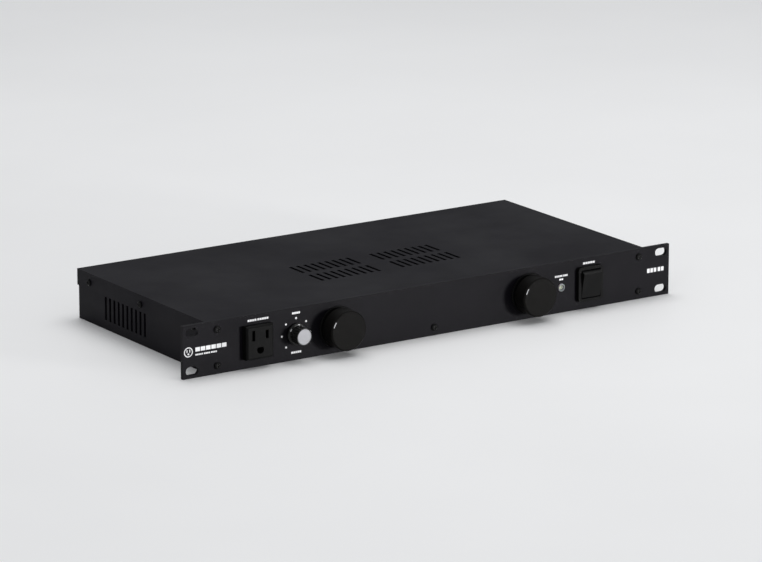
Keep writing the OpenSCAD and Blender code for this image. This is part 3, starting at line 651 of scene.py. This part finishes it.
def make_indicator(mats):
    """Domed clear lens in a rounded ring, over its emitter."""
    x = middle("led_ring").x
    low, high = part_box("led_ring")
    ring_r, lens_r = radius_of("led_ring"), radius_of("led_lens")
    bore, barrel_r, flange_y = lens_r + FIT, ring_r - 0.55 * MM, low.y + 1.3 * MM
    ring = fillet([(bore, low.y, 0.2 * MM), (ring_r - 0.2 * MM, low.y, 0.6 * MM), (ring_r, flange_y, 0),
                   (barrel_r, flange_y, 0), (barrel_r, high.y, 0), (bore, high.y, 0)])
    new_piece("indicator_ring", lathe(ring, x, 64, closed=True), mats["led_ring"], "chassis",
              ("led_ring",))
    tip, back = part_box("led_lens")
    dome_high = 1.5 * MM
    dome = [(lens_r * math.sin(a), tip.y + dome_high * (1 - math.cos(a)))
            for a in (math.radians(turn) for turn in range(0, 91, 9))]
    new_piece("indicator_lens", lathe(dome + [(lens_r, back.y), (0, back.y)], x, 48), mats["led_lens"],
              "chassis", ("led_lens",))
    cup_y = back.y - 5 * MM
    cup = fillet([(0, cup_y - 2.4 * MM, 0), (1.3 * MM, cup_y - 2.9 * MM, 0.1 * MM), (1.5 * MM, cup_y, 0),
                  (0, cup_y, 0)])
    new_piece("indicator_emitter", lathe(cup, x, 32), mats["emitter"], "chassis")


# ---- The rest of the assembly: its CAD solids with rounded edges ----

EDGE_MM = {
    "front_panel": 0.4, "chassis_tray": 0.35, "top_cover": 0.5, "panel_screws": 0.2,
    "cover_screws": 0.2, "front_outlet": 0.35, "front_contacts": 0.1, "line_bus": 0.1,
    "neutral_bus": 0.1, "ground_bus": 0.1, "dimmer_pot": 0.4, "dimmer_nut": 0.3,
    "switch_housing": 0.5, "switch_rocker": 0.6, "switch_pin": 0.2, "switch_terminals": 0.1,
    "light_bushes": 0.3, "light_rails": 0.3, "surge_board": 0.1, "board_standoffs": 0.3,
    "board_screws": 0.2, "varistors": 0.6, "filter_capacitor": 0.8, "choke_core": 1.2,
    "choke_winding": 0.3, "power_leads": 0, "breaker_body": 0.4, "breaker_nut": 0.4,
    "breaker_button": 0.3, "cord_gland": 0.8, "gland_nut": 0.5,
}


def make_rest(mats):
    """Every node that has no piece of its own above."""
    for node, edge in EDGE_MM.items():
        refine(node, edge, mats)
    for node in sorted(NODES):
        if node.startswith("rear_outlet"):
            refine(node, EDGE_MM["front_outlet"], mats)


# ---- Floor, light and camera ----

def make_stage():
    """Pale floor that runs on to the horizon."""
    bm = bmesh.new()
    bmesh.ops.create_grid(bm, x_segments=1, y_segments=1, size=12)
    mesh = bpy.data.meshes.new("floor")
    bm.to_mesh(mesh)
    bm.free()
    floor = bpy.data.objects.new("floor", mesh)
    floor.location.z = cad_low.z
    mat, tree, surface = shader("floor_paper", grey(0.9), 0.5)
    tint(tree, surface, noise(tree, 3, 3), grey(0.89), grey(0.92))
    mesh.materials.append(mat)
    bpy.context.scene.collection.objects.link(floor)


def area_light(name, at, toward, size, watts):
    """A rectangular soft light at one place, turned toward another."""
    data = bpy.data.lights.new(name, "AREA")
    data.shape = "RECTANGLE"
    data.size, data.size_y = size
    data.energy = watts
    light = bpy.data.objects.new(name, data)
    light.location = at
    light.rotation_mode = "QUATERNION"
    light.rotation_quaternion = (Vector(toward) - Vector(at)).to_track_quat("-Z", "Y")
    bpy.context.scene.collection.objects.link(light)


def make_lights():
    """Soft light from above, a low one from the front right, a small glint and a pale world."""
    area_light("overhead_soft", at=(0.5, 0.35, 2.4), toward=(0, -0.1, 0), size=(2.4, 1.8), watts=38)
    area_light("front_right_key", at=(1.25, -2.3, 0.13), toward=(0, 0, 0), size=(0.5, 0.36), watts=64)
    area_light("upper_left_glint", at=(-1.75, -1.5, 1.25), toward=(0, 0, 0), size=(0.16, 0.16), watts=3.5)
    world = bpy.data.worlds.new("studio")
    world.use_nodes = True
    backdrop = world.node_tree.nodes["Background"]
    backdrop.inputs["Color"].default_value = (0.95, 0.97, 1, 1)
    backdrop.inputs["Strength"].default_value = 0.4
    bpy.context.scene.world = world


def make_camera():
    """Camera 3.7 m away, 34 degrees to the left of the panel and 15 degrees above it."""
    eye = Vector((-2.0044, -2.9473, 0.9639))
    aim = Vector((0.006, 0.085, 0.004))
    data = bpy.data.cameras.new("camera")
    data.sensor_width = 36
    data.lens = 212
    camera = bpy.data.objects.new("camera", data)
    camera.location = eye
    camera.rotation_mode = "QUATERNION"
    camera.rotation_quaternion = (aim - eye).to_track_quat("-Z", "Y")
    data.clip_start, data.clip_end = 0.1, 60
    bpy.context.scene.collection.objects.link(camera)
    bpy.context.scene.camera = camera
    bpy.context.scene.view_settings.view_transform = "Standard"


make_camera()
make_stage()
make_lights()
MATS = make_materials()
make_rest(MATS)
make_legends(MATS)
make_stud(MATS)
for light_side in SIDES:
    make_light(light_side, MATS)
make_dimmer(MATS)
make_indicator(MATS)
